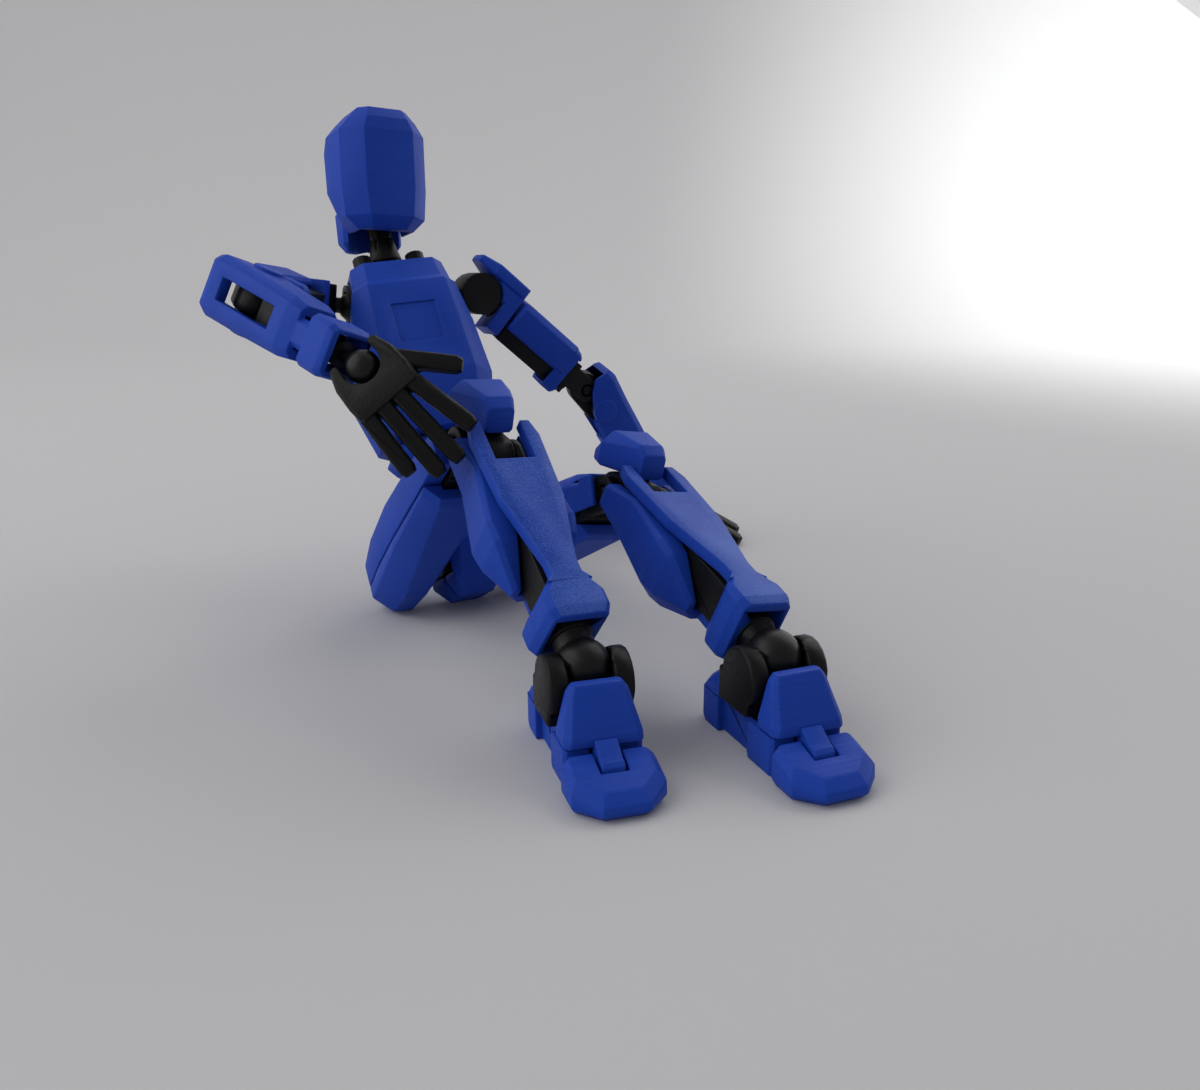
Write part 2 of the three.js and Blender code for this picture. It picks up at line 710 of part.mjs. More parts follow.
// Knee: a double-hinged link that carries the kneecap
function kneeMeshes(name) {
  const tabFront = kneecapBack + 1.2;
  const link = joined(
    hingeLink(kneeRadius, kneeGap, kneeThickness, kneeCheek),
    block([-kneecapTabHalf, -tabFront, -kneeGap / 2 - 1.5], [kneecapTabHalf, 0, -kneeGap / 2 + 1.5]),
  );
  const cap = loft(
    evenRing(-kneecapBottom, kneecapHalfWidth - 2.4, kneecapFront - 1.6, -kneecapBack, 0.5, 0.4),
    evenRing(-kneecapBottom + 1.2, kneecapHalfWidth - 2.1, kneecapFront - 0.5, -kneecapBack, 0.5, 0.4),
    evenRing(kneecapTop - 2.6, kneecapHalfWidth, kneecapFront, -kneecapBack, 1.6, 0.4),
    evenRing(kneecapTop, kneecapHalfWidth - 0.9, kneecapFront - 2.6, -kneecapBack, 0.7, 0.4),
  );
  const tabRoom = block(
    [-kneecapTabHalf - clearance, -tabFront - clearance, -kneeGap / 2 - 1.5 - clearance],
    [kneecapTabHalf + clearance, 0, -kneeGap / 2 + 1.5 + clearance],
  );
  return [
    meshOf(`${name}_knee_link`, link, black),
    meshOf(`${name}_kneecap`, cut(cap, tabRoom), blue),
  ];
}

// Shin: a frame from knee fork to ankle socket, a front plate with the ankle cuff, and a calf shell
const shinFrameEnd = cuffTop + 1.2;
const kneeForkDrop = kneeRadius + 1; // below the lower hinge, where the shin's bar starts
const platePlane = -shinFront + shinPlate;

function shinFrame() {
  const front = platePlane + clearance;
  const core = joined(
    block([-shinFrameHalf, front, -shinFrameEnd], [shinFrameHalf, shinFrameBack, -kneeForkDrop]),
    block(
      [-kneeForkHalf, -kneeRadius, -kneeForkDrop - kneeForkBar],
      [kneeForkHalf, kneeRadius - 0.6, -kneeForkDrop],
    ),
    ...hingeCheeks(kneeCheekRadius, kneeThickness, kneeCheek, 0, -kneeForkDrop - 1),
  );
  return cut(
    core,
    axle(hingePinRadius + clearance, beyond),
    rod(pegRadius + 0.3 + clearance, [0, 0, -beyond], [0, 0, -shinFrameEnd + 4]),
  );
}

function shinArmour() {
  const outline = mirrorOutline([
    [shinSlotHalf, -shinSlotEnd],
    [shinSlotHalf, shinForkTop],
    [shinHalfWidth - 0.6, shinForkTop],
    [shinHalfWidth, shinForkTop - 2.4],
    [shinHalfWidth - 0.5, -10],
    [shinWaist, -cuffTop + 2.8],
    [shinWaist, -cuffTop + 1],
    [cuffHalfWidth - 1, -cuffTop],
  ].reverse()).reverse();
  const cuff = loft(
    evenRing(-cuffBottom, cuffHalfWidth - 0.5, shinFront - 0.4, cuffBack - 0.3),
    evenRing(-cuffBottom + 1.2, cuffHalfWidth, shinFront, cuffBack),
    evenRing(-cuffTop - 1.4, cuffHalfWidth, shinFront, cuffBack),
    evenRing(-cuffTop, cuffHalfWidth - 1, shinFront - 0.1, cuffBack - 0.6),
  );
  const strip = block(
    [-shinWaist, shinFrameBack + clearance, -cuffTop - 1],
    [shinWaist, cuffBack - 0.3, -calfEnd - clearance],
  );
  const ankleRoom = block(
    [-cuffHalfWidth + cuffWall, platePlane + clearance - 0.3, -beyond],
    [cuffHalfWidth - cuffWall, cuffBack - cuffWall, -shinFrameEnd + 0.6],
  );
  const frameRoom = block(
    [-shinFrameHalf - clearance, platePlane, -shinFrameEnd - 1],
    [shinFrameHalf + clearance, shinFrameBack + clearance, -cuffTop + 1],
  );
  const body = joined(frontPlate(outline, -shinFront, platePlane), cuff, strip);
  return cut(body, ankleRoom, frameRoom);
}

function calfShell() {
  const front = shinFront - shinPlate - clearance;
  const outer = loft(
    evenRing(-calfEnd, calfHalfWidth - 2.2, -1.4, calfBack - 2, 0.5, 1.2),
    evenRing(-calfNotch - 2.4, calfHalfWidth - 0.4, 2.4, calfBack - 0.4, 0.6, 2),
    evenRing(-calfNotch, calfHalfWidth, front, calfBack, 0.5, 2.4),
    evenRing(-3, shinHalfWidth, front, calfBack - 0.6, 0.5, 2.6),
    evenRing(calfTop, calfHalfWidth - 0.4, front - 1, calfBack - 3.4, 0.5, 1.6),
  );
  const frameRoom = shinFrameHalf + clearance;
  const kneeRoom = kneeForkHalf + clearance;
  return cut(
    outer,
    block([-frameRoom, -beyond, -beyond], [frameRoom, shinFrameBack + clearance, beyond]),
    block(
      [-kneeRoom, -beyond, -kneeForkDrop - kneeForkBar - clearance],
      [kneeRoom, kneeRadius + clearance, beyond],
    ),
    block([-kneeRoom, -beyond, -kneeForkDrop], [kneeRoom, beyond, beyond]),
  );
}

function shinMeshes(name) {
  return [
    meshOf(`${name}_shin_frame`, shinFrame(), black),
    meshOf(`${name}_shin_armour`, shinArmour(), blue),
    meshOf(`${name}_calf_shell`, calfShell(), blue),
  ];
}

// Foot: a ball between the cheeks of a fork that stands in the foot, an instep cover and a hinged toe
function anklePeg() {
  const top = shinLength - shinFrameEnd + 3;
  return joined(
    ball(ankleBallRadius),
    rod(pegRadius + 0.3, [0, 0, 0], [0, 0, top]),
    rod(ankleNeckRadius, [0, 0, ankleBallRadius / 2], [0, 0, ankleCollarStart + 0.5]),
    rod(ankleCollarRadius, [0, 0, ankleCollarStart], [0, 0, shinLength - shinFrameEnd - clearance]),
  );
}

const forkInner = ankleBallRadius - 0.6;
const forkOuter = forkInner + forkCheek;

function ankleFork() {
  const cheeks = [-1, 1].map((way) => joined(
    rod(forkRadius, [way * forkInner, forkShift, -forkDrop], [way * forkOuter, forkShift, -forkDrop]),
    block([way * forkInner, -forkFront, -sideTop + clearance], [way * forkOuter, forkBack, -forkDrop]),
  ));
  const base = joined(
    block([-forkOuter, -forkFront, -sideTop + clearance], [forkOuter, forkBack, -ankleBallRadius - 0.2]),
    block([-forkStem, -forkFront, -soleTop + clearance], [forkStem, forkBack, -sideTop + 1]),
    ...cheeks,
  );
  return cut(base, ball(ankleBallRadius + clearance));
}

function footBody() {
  const sole = loft(
    evenRing(-ankleHeight, footHalfWidth - 0.1, footFront, heelBack - 0.6, 0.4, 1.2),
    evenRing(-ankleHeight + 0.8, footHalfWidth, footFront, heelBack, 0.4, 1.4),
    evenRing(-sideTop, footHalfWidth, footFront, heelBack, 0.4, 1.4),
  );
  const heelFront = -forkBack - clearance;
  const heel = loft(
    evenRing(-sideTop - 0.5, footHalfWidth, heelFront, heelBack, 0.4, 1.4),
    evenRing(-heelTop, footHalfWidth - 0.3, heelFront, heelBack - 0.4, 0.4, 1.4),
    evenRing(-heelTop + 1.2, footHalfWidth - 1.2, heelFront, heelBack - 1.6, 0.4, 1.2),
  );
  const stemRoom = block(
    [-forkStem - clearance, -forkFront - clearance, -soleTop],
    [forkStem + clearance, forkBack + clearance, beyond],
  );
  const tabRoom = block(
    [-tabHalfWidth - clearance, -beyond, -toeHingeDrop - clearance],
    [tabHalfWidth + clearance, -footFront + 1 + clearance, beyond],
  );
  const notches = [-1, 1].map((way) => block(
    [way * (footHalfWidth - sideNotch), -notchFront, -beyond],
    [way * beyond, notchBack, beyond],
  ));
  return cut(joined(sole, heel), stemRoom, tabRoom, ...notches);
}

function instepCover() {
  const back = -instepBack;
  const cover = loft(
    evenRing(-sideTop + clearance, footHalfWidth, footFront + 0.6, back, 0.5),
    evenRing(-sideTop + 1.3, footHalfWidth, footFront + 0.5, back, 0.8, 0.5),
    evenRing(instepTop - 0.8, instepHalfWidth, instepFront, back, 0.6, 0.5),
    evenRing(instepTop, instepHalfWidth - 0.6, instepFront - 0.5, back - 0.1, 0.3),
  );
  const tab = joined(
    block(
      [-tabHalfWidth, -toeHinge, -toeHingeDrop],
      [tabHalfWidth, -footFront + 1, -toeHingeDrop + tabRadius],
    ),
    axle(tabRadius, 2 * tabHalfWidth, -toeHinge, -toeHingeDrop),
    block([-tabHalfWidth, -footFront, -toeHingeDrop + 0.3], [tabHalfWidth, -footFront + 1, -sideTop + 1]),
  );
  return cut(joined(cover, tab), ball(ankleBallRadius + 0.6));
}

function toeCap() {
  const back = -footFront - 1;
  // The top falls towards the tip
  const sloped = (points) => points.map((p) => p.setZ(p.z + (p.y - back) * toeSlope));
  const body = loft(
    evenRing(-ankleHeight, toeHalfWidth - 0.5, toeReach - 0.9, back - 0.2, 2.4, 0.3),
    evenRing(-ankleHeight + 0.9, toeHalfWidth, toeReach, back - 0.1, 2.6, 0.3),
    sloped(evenRing(-toeTop - 0.8, toeHalfWidth, toeReach - 0.2, back, 2.6, 0.3)),
    sloped(evenRing(-toeTop, toeHalfWidth - 0.8, toeReach - 1.4, back, 2.3, 0.3)),
  );
  const half = tabHalfWidth + clearance;
  const slot = joined(
    block([-half, -toeHinge, -toeHingeDrop - tabRadius - clearance], [half, beyond, beyond]),
    axle(tabRadius + clearance, 2 * half, -toeHinge, -toeHingeDrop),
    block([-half, -toeHinge - tabRadius - clearance, -toeHingeDrop], [half, beyond, beyond]),
  );
  const footRoom = block([-beyond, -footFront - clearance, -beyond], [beyond, beyond, beyond]);
  return cut(body, slot, footRoom);
}

function buildLeg(pelvis, side) {
  const name = side > 0 ? 'left' : 'right';
  const hip = jointGroup(`${name}_hip_swing`, pelvis, [side * hipHalfSpan, 0, 0], [1, 0, 0]);
  hip.add(meshOf(`${name}_hip_link`, hipLink(side), black));

  const target = new THREE.Vector3(...ankleSpot[name], ankleHeight);
  const root = worldPoint(hip);
  const reach = target.distanceTo(root);
  const { bend, lead } = limbBend(thighLength, kneeGap, shinLength, reach, kneeShare);
  const sway = degrees(kneeSway[name]);
  const pole = new THREE.Vector3(Math.sin(sway), 0, Math.cos(sway));

  const thigh = jointGroup(`${name}_hip_spread`, hip, [0, 0, 0], [0, 1, 0]);
  faceWorld(thigh, limbTurn(root, target, pole, lead, -1));
  thigh.add(...thighMeshes(side));
  const knee = jointGroup(`${name}_knee_upper`, thigh, [0, 0, -thighLength], [1, 0, 0]);
  knee.rotation.x = bend * kneeShare;
  knee.add(...kneeMeshes(name));
  const shin = jointGroup(`${name}_knee_lower`, knee, [0, 0, -kneeGap], [1, 0, 0]);
  shin.rotation.x = bend * (1 - kneeShare);
  shin.add(...shinMeshes(name));

  const peg = jointGroup(`${name}_ankle_swivel`, shin, [0, 0, -shinLength], [0, 0, 1]);
  peg.add(meshOf(`${name}_ankle_peg`, anklePeg(), black));
  const foot = jointGroup(`${name}_ankle_bend`, peg, [0, 0, 0], [1, 0, 0]);
  faceWorld(foot, new THREE.Quaternion().setFromEuler(turned(0, 0, footYaw[name])));
  foot.add(
    meshOf(`${name}_ankle_fork`, ankleFork(), black),
    meshOf(`${name}_foot_body`, footBody(), blue),
    meshOf(`${name}_instep_cover`, instepCover(), blue),
  );
  const toe = jointGroup(`${name}_toe_bend`, foot, [0, -toeHinge, -toeHingeDrop], [1, 0, 0]);
  const toeMesh = meshOf(`${name}_toe_cap`, toeCap(), blue);
  toeMesh.geometry.translate(0, toeHinge, toeHingeDrop);
  toe.add(toeMesh);
  return knee;
}

// Arm: outwards is side * X
function shoulderLink(side) {
  const barrel = [side * (shoulderHalfSpan - shoulderSocketOffset), 0, 0];
  const half = barrelLength / 2;
  return joined(
    ball(shoulderBallRadius),
    rod(linkNeckRadius, [0, 0, 0], barrel),
    rod(barrelRadius, [barrel[0], -half, 0], [barrel[0], half, 0]),
  );
}

function shoulderCap(side) {
  const plate = (capInner + capOuter) / 2;
  const half = (capOuter - capInner) / 2;
  const plateRing = (z, less, depth) => ring(z, {
    left: side * plate - half + less,
    right: side * plate + half - less,
    front: -depth,
    back: depth,
    frontCut: 0.3,
  });
  const wall = loft(
    plateRing(-capBottom, 0, capHalfDepth - 0.4),
    plateRing(-capBottom + 0.8, 0, capHalfDepth),
    plateRing(capTop - 3, 0, capHalfDepth),
    plateRing(capTop, 0.4, capHalfDepth - 1.6),
  );
  const depth = capHalfDepth - 0.4;
  const floor = joined(
    block([-side * capInner, -depth, -capBottom], [side * capOuter, depth, -capFloor]),
    block([side * 1.2, -depth, -capBottom], [side * capOuter, depth, -1.2]),
  );
  return cut(
    joined(wall, floor),
    rod(barrelRadius + clearance, [0, -beyond, 0], [0, beyond, 0]),
    rod(pegRadius + clearance, [0, 0, -beyond], [0, 0, 0]),
  );
}

const armTop = capBottom + clearance + 0.3;
const elbowForkHalf = elbowThickness / 2 + clearance + elbowCheek;
const elbowCheekRadius = elbowGap / 2 - clearance;
const elbowBar = upperArmLength - elbowRadius - 0.8;

function upperArmFrame() {
  const core = joined(
    rod(pegRadius, [0, 0, -armTop - 1], [0, 0, -barrelRadius - clearance - 0.2]),
    block([-armFrameHalf, -armFront, -elbowBar], [armFrameHalf, armFrameBack, -armTop]),
    block([-elbowForkHalf, -armFrameHalf, -elbowBar], [elbowForkHalf, armFrameHalf, -elbowBar + armForkBar]),
    ...hingeCheeks(elbowCheekRadius, elbowThickness, elbowCheek, -upperArmLength, elbowRadius + 1),
  );
  return cut(core, axle(hingePinRadius + clearance, beyond, 0, -upperArmLength));
}

function upperArmArmour() {
  const body = loft(
    evenRing(-armArmourEnd, armHalfWidth - 1, armSplit, armBack - 1, 0.4, 1),
    evenRing(-armArmourEnd + 2, armHalfWidth, armSplit, armBack, 0.4, 1),
    evenRing(-armTop - 0.6, armHalfWidth, armSplit, armBack, 0.4, 1),
    evenRing(-armTop, armHalfWidth - 0.4, armSplit, armBack - 0.4, 0.4, 1),
  );
  const band = loft(
    evenRing(-armArmourEnd, armHalfWidth - 1, armFront + 0.2, armBack - 1, 0.6),
    evenRing(-armArmourEnd + 1, armHalfWidth - 0.2, armFront + 1, armBack - 0.4, 0.6),
    evenRing(-armArmourEnd + armBandHeight, armHalfWidth - 0.2, armFront + 1, armBack - 0.4, 0.6),
  );
  const half = armFrameHalf + clearance;
  const fork = elbowForkHalf + clearance;
  return cut(
    joined(body, band),
    block([-half, -armFront - clearance, -beyond], [half, armFrameBack + clearance, beyond]),
    block([-fork, -half, -beyond], [fork, half, -elbowBar + armForkBar + clearance]),
  );
}

const forearmBar = elbowRadius + 0.8; // below the lower hinge, where the forearm's bar starts
const forearmFrameEnd = wristCuffTop + 0.8;
const forearmCoreHalf = 1.8;
const forearmCoreDepth = 1.9;
const wristPegRadius = 0.8;
const wristCollarRadius = 1.7;
const wristCollarSetBack = 1; // inside the cuff's mouth

function forearmFrame() {
  const half = forearmCoreHalf;
  const depth = forearmCoreDepth;
  const core = joined(
    block([-half, -depth, -forearmFrameEnd], [half, depth, -forearmBar]),
    block([-elbowForkHalf, -depth, -forearmBar - armForkBar], [elbowForkHalf, depth, -forearmBar]),
    ...hingeCheeks(elbowCheekRadius, elbowThickness, elbowCheek, 0, -forearmBar - 1),
  );
  return cut(
    core,
    axle(hingePinRadius + clearance, beyond),
    rod(wristPegRadius + clearance, [0, 0, -beyond], [0, 0, -forearmFrameEnd + 3.4]),
  );
}

function forearmArmour() {
  const body = loft(
    evenRing(-forearmBody, forearmHalfWidth - 0.7, forearmFront - 0.6, forearmBack - 0.8, 0.8),
    evenRing(-forearmBody + 2.2, forearmHalfWidth - 0.3, forearmFront, forearmBack - 0.2, 1),
    evenRing(-1, forearmHalfWidth, forearmFront - 0.4, forearmBack + 0.4, 1, 1),
    evenRing(forearmTop - 1.4, forearmHalfWidth, 0, forearmBack + 0.9, 0.4, 1),
    evenRing(forearmTop, forearmHalfWidth - 0.4, -1.4, forearmBack + 0.5, 0.4, 0.8),
  );
  const neck = loft(
    evenRing(-wristCuffTop - 0.6, forearmNeckHalf, forearmFront - 0.6, forearmBack - 0.8),
    evenRing(-forearmBody + 0.6, forearmNeckHalf, forearmFront - 0.6, forearmBack - 0.8),
  );
  const cuff = loft(
    evenRing(-wristCuffBottom, wristCuffHalf - 0.4, wristCuffHalf - 0.6, wristCuffHalf - 0.2),
    evenRing(-wristCuffBottom + 1, wristCuffHalf, wristCuffHalf - 0.2, wristCuffHalf + 0.1),
    evenRing(-wristCuffTop, wristCuffHalf, wristCuffHalf - 0.2, wristCuffHalf + 0.1),
  );
  const linkRoom = elbowForkHalf + clearance;
  const inner = wristCuffHalf - wristCuffWall;
  const core = forearmCoreHalf + clearance;
  const coreDepth = forearmCoreDepth + clearance;
  return cut(
    joined(body, neck, cuff, axle(bossRadius, 2 * (forearmHalfWidth + bossHeight))),
    block([-linkRoom, -beyond, -forearmBar - armForkBar - clearance], [linkRoom, elbowRadius + 0.3, beyond]),
    block([-core, -coreDepth, -forearmFrameEnd - 1], [core, coreDepth, 0]),
    block([-windowHalfWidth, 0, -windowBottom], [windowHalfWidth, beyond, windowTop]),
    block([-inner, -inner, -beyond], [inner, inner, -forearmFrameEnd]),
  );
}

function wristPeg() {
  const top = forearmLength - forearmFrameEnd + 2.6;
  const collarTop = forearmLength - forearmFrameEnd - clearance;
  return joined(
    ball(wristBallRadius),
    rod(wristPegRadius, [0, 0, 0], [0, 0, top]),
    rod(wristCollarRadius, [0, 0, forearmLength - wristCuffBottom + wristCollarSetBack], [0, 0, collarTop]),
  );
}

// Hand: fingers along -Z, back of the hand towards -Y, thumb on the inner side
function handSolid(side) {
  const half = palmThickness / 2;
  const palm = loft(
    evenRing(-palmLength, palmHalfWidth - 0.2, half - 0.1, half - 0.1, 0.4),
    evenRing(-palmLength + 2.4, palmHalfWidth, half, half, 0.4),
    evenRing(-0.6, palmHalfWidth - 0.2, half, half, 0.4),
    evenRing(palmTop, palmHalfWidth - 1, half, half, 0.4),
  );
  const finger = (x, length, spread, curl, base) => {
    const box = (z, wide, thick) => evenRing(z, wide / 2, thick / 2, thick / 2, 0.3);
    const turn = new THREE.Euler(degrees(curl), degrees(spread), 0, 'YXZ');
    const start = new THREE.Vector3(x, 0, base);
    const bent = (points) => points.map((p) => p.applyEuler(turn).add(start));
    return loft(
      bent(box(-length, fingerWidth - 0.5, fingerThickness - 0.7)),
      bent(box(-length + 0.8, fingerWidth, fingerThickness - 0.2)),
      bent(box(0.5, fingerWidth, fingerThickness)),
    );
  };
  const pitch = fingerWidth + fingerGap;
  const fingers = fingerLengths.map((length, i) => {
    const place = (i - 1.5) * -side * pitch;
    return finger(place, length, -side * fingerTurns[i], fingerCurl, -palmLength);
  });
  const thumbRoot = -side * (palmHalfWidth - fingerWidth / 2);
  const thumb = finger(thumbRoot, thumbLength, side * thumbSpread, fingerCurl, -palmLength + thumbBase);
  return cut(
    joined(palm, ...fingers, thumb),
    rod(wristHole, [0, -beyond, 0], [0, beyond, 0]),
    block([-wristSlotHalf, -beyond, 0], [wristSlotHalf, beyond, beyond]),
  );
}

function handTurn(name) {
  const up = new THREE.Vector3(...fingerWay[name]).normalize().negate();
  const across = new THREE.Vector3(...backOfHand[name]).negate().cross(up).normalize();
  const basis = new THREE.Matrix4().makeBasis(across, new THREE.Vector3().crossVectors(up, across), up);
  return new THREE.Quaternion().setFromRotationMatrix(basis);
}

function buildArm(chest, side, wristTarget) {
  const name = side > 0 ? 'left' : 'right';
  const handMesh = meshOf(`${name}_hand`, handSolid(side), black);
  const target = wristTarget(dropOf(handMesh, handTurn(name)));
  const socket = new THREE.Vector3(side * shoulderSocketOffset, 0, shoulderHeight);
  const barrel = new THREE.Vector3(side * (shoulderHalfSpan - shoulderSocketOffset), 0, 0);
  const raise = new THREE.Quaternion().setFromEuler(turned(0, -side * shoulderRaise[name]));
  const root = worldPoint(chest, barrel.clone().applyQuaternion(raise).add(socket).toArray());
  const reach = target.distanceTo(root);
  const { bend, lead } = limbBend(upperArmLength, elbowGap, forearmLength, reach, elbowShare);
  const armTurn = limbTurn(root, target, new THREE.Vector3(...elbowSide[name]), lead, 1);
  const fromRaised = worldTurn(chest).multiply(raise).invert().multiply(armTurn);
  const turns = new THREE.Euler().setFromQuaternion(fromRaised, 'XYZ');

  const shoulder = jointGroup(`${name}_shoulder_swing`, chest, socket.toArray(), [1, 0, 0]);
  const swing = new THREE.Quaternion().setFromEuler(new THREE.Euler(turns.x, 0, 0));
  shoulder.quaternion.copy(raise).multiply(swing);
  shoulder.add(meshOf(`${name}_shoulder_link`, shoulderLink(side), black));
  const cap = jointGroup(`${name}_shoulder_lift`, shoulder, barrel.toArray(), [0, 1, 0]);
  cap.rotation.y = turns.y;
  cap.add(meshOf(`${name}_shoulder_cap`, shoulderCap(side), blue));
  const arm = jointGroup(`${name}_arm_twist`, cap, [0, 0, 0], [0, 0, 1]);
  arm.rotation.z = turns.z;
  arm.add(
    meshOf(`${name}_upper_arm_frame`, upperArmFrame(), black),
    meshOf(`${name}_upper_arm_armour`, upperArmArmour(), blue),
  );
  const elbow = jointGroup(`${name}_elbow_upper`, arm, [0, 0, -upperArmLength], [1, 0, 0]);
  elbow.rotation.x = -bend * elbowShare;
  const link = hingeLink(elbowRadius, elbowGap, elbowThickness, elbowCheek);
  elbow.add(meshOf(`${name}_elbow_link`, link, black));
  const forearm = jointGroup(`${name}_elbow_lower`, elbow, [0, 0, -elbowGap], [1, 0, 0]);
  forearm.rotation.x = -bend * (1 - elbowShare);
  forearm.add(
    meshOf(`${name}_forearm_frame`, forearmFrame(), black),
    meshOf(`${name}_forearm_armour`, forearmArmour(), blue),
  );
  const wrist = jointGroup(`${name}_wrist_twist`, forearm, [0, 0, -forearmLength], [0, 0, 1]);
  wrist.add(meshOf(`${name}_wrist_peg`, wristPeg(), black));
  const hand = jointGroup(`${name}_wrist_bend`, wrist, [0, 0, 0], [1, 0, 0]);
  faceWorld(hand, handTurn(name));
  hand.add(handMesh);
}

// The whole figure, with its origin on the floor under the middle of its box
const figure = new THREE.Group();
figure.name = 'articulated_figure';
const pelvis = buildPelvis(figure);
const chest = buildTorso(pelvis);
buildHead(chest);
const rightKnee = buildLeg(pelvis, -1);
buildLeg(pelvis, 1);
buildArm(chest, -1, () => worldPoint(rightKnee).add(new THREE.Vector3(...rightWristFromKnee)));
buildArm(chest, 1, (drop) => new THREE.Vector3(...leftWristSpot, drop));

figure.updateMatrixWorld(true);
const box = new THREE.Box3().setFromObject(figure, true);
const middle = box.getCenter(new THREE.Vector3());
figure.position.set(-middle.x, -middle.y, -box.min.z);
figure.updateMatrixWorld(true);

export default figure;
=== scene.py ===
import json
import math

import bpy
from mathutils import Euler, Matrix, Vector


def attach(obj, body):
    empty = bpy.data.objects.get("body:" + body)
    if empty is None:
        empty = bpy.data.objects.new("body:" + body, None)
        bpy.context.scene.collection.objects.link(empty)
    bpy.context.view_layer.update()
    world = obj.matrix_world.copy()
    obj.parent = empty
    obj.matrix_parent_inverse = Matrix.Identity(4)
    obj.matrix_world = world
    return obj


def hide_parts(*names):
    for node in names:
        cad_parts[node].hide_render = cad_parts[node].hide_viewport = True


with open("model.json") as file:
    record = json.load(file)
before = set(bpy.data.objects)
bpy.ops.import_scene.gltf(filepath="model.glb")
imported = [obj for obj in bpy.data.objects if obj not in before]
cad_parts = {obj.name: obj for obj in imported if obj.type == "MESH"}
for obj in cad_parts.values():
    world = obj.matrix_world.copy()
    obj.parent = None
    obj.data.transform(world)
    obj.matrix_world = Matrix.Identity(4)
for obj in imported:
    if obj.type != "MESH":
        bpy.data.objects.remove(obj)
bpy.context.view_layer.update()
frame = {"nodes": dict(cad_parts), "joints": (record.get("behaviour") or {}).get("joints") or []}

# The stage: pale grey paper that lies flat under the figure and sweeps up close behind it.
# To the right behind the figure a pool of light is painted on the paper, and there the paper
# also glows towards the camera and in reflections, though it is no lamp: painted light.
# A soft lamp stands at each side, as in a light tent, and a weak one hangs behind. The
# camera stands low before the figure's right foot and is placed from that ankle.
joint_point = {joint["name"]: Vector(joint["pos_m"]) for joint in frame["joints"]}

camera_from_ankle = Vector((-0.0616, -0.09734, 0.04936))
camera_yaw = -0.58
camera_pitch = -0.30
camera_focal_px = 1146.8
photo_width_px = 1200
sensor_width = 36.0
near_clip = 0.01

camera_data = bpy.data.cameras.new("camera")
camera_data.sensor_fit = "HORIZONTAL"
camera_data.sensor_width = sensor_width
camera_data.lens = sensor_width * camera_focal_px / photo_width_px
camera_data.clip_start = near_clip
camera = bpy.data.objects.new("camera", camera_data)
camera.location = joint_point["right_ankle_bend"] + camera_from_ankle
camera.rotation_euler = (math.pi / 2 + camera_pitch, 0, camera_yaw)
bpy.context.collection.objects.link(camera)
bpy.context.scene.camera = camera

paper_half = 1.5
sweep_start = 0.36
sweep_height = 1.4
sweep_radius = 0.24
sweep_steps = 24
bpy.ops.object.select_all(action="DESELECT")
bpy.ops.mesh.primitive_plane_add(size=2 * paper_half, location=(0, sweep_start - paper_half, 0))
paper = bpy.context.object
paper.name = "floor"
bpy.ops.object.mode_set(mode="EDIT")
bpy.ops.mesh.select_mode(type="EDGE")
bpy.ops.mesh.select_all(action="DESELECT")
bpy.ops.object.mode_set(mode="OBJECT")
for edge in paper.data.edges:
    edge.select = all(paper.data.vertices[i].co.y > 0 for i in edge.vertices)
bpy.ops.object.mode_set(mode="EDIT")
bpy.ops.mesh.extrude_region_move(TRANSFORM_OT_translate={"value": (0, 0, sweep_height)})
bpy.ops.object.mode_set(mode="OBJECT")
for edge in paper.data.edges:
    ends = [paper.data.vertices[i].co for i in edge.vertices]
    edge.select = all(end.y > 0 and end.z < sweep_height / 2 for end in ends)
bpy.ops.object.mode_set(mode="EDIT")
bpy.ops.mesh.bevel(offset=sweep_radius, segments=sweep_steps)
bpy.ops.object.mode_set(mode="OBJECT")
bpy.ops.object.shade_smooth()
paper.rotation_euler.z = camera_yaw
bpy.ops.object.transform_apply(location=True, rotation=True, scale=True)

paper_grey = (0.58, 0.57, 0.575, 1)
# A whiter colour for the pool of painted light on the paper.
paper_painted_light = (0.95, 0.95, 0.94, 1)
paper_rough = 0.9
paper_shine = 0.1
# The pool of painted light: its centre, placed from the camera, how far it reaches, where it is whitest, and
# the painted glow that the paper emits there.
painted_light_from_camera = Vector((0.3, 0.5, 0.1))
painted_light_spot = camera.location + Euler((0, 0, camera_yaw)).to_matrix() @ painted_light_from_camera
painted_light_reach = 0.33
painted_light_full = 0.6
painted_glow_full = 0.9
painted_glow_strength = 0.6
painted_glow_tint = (1, 1, 0.99, 1)
paper_finish = bpy.data.materials.new("floor_paper")
paper_finish.use_nodes = True
paper_nodes = paper_finish.node_tree.nodes
paper_links = paper_finish.node_tree.links
paper_shader = paper_nodes["Principled BSDF"]
paper_shader.inputs["Roughness"].default_value = paper_rough
paper_shader.inputs["Specular IOR Level"].default_value = paper_shine
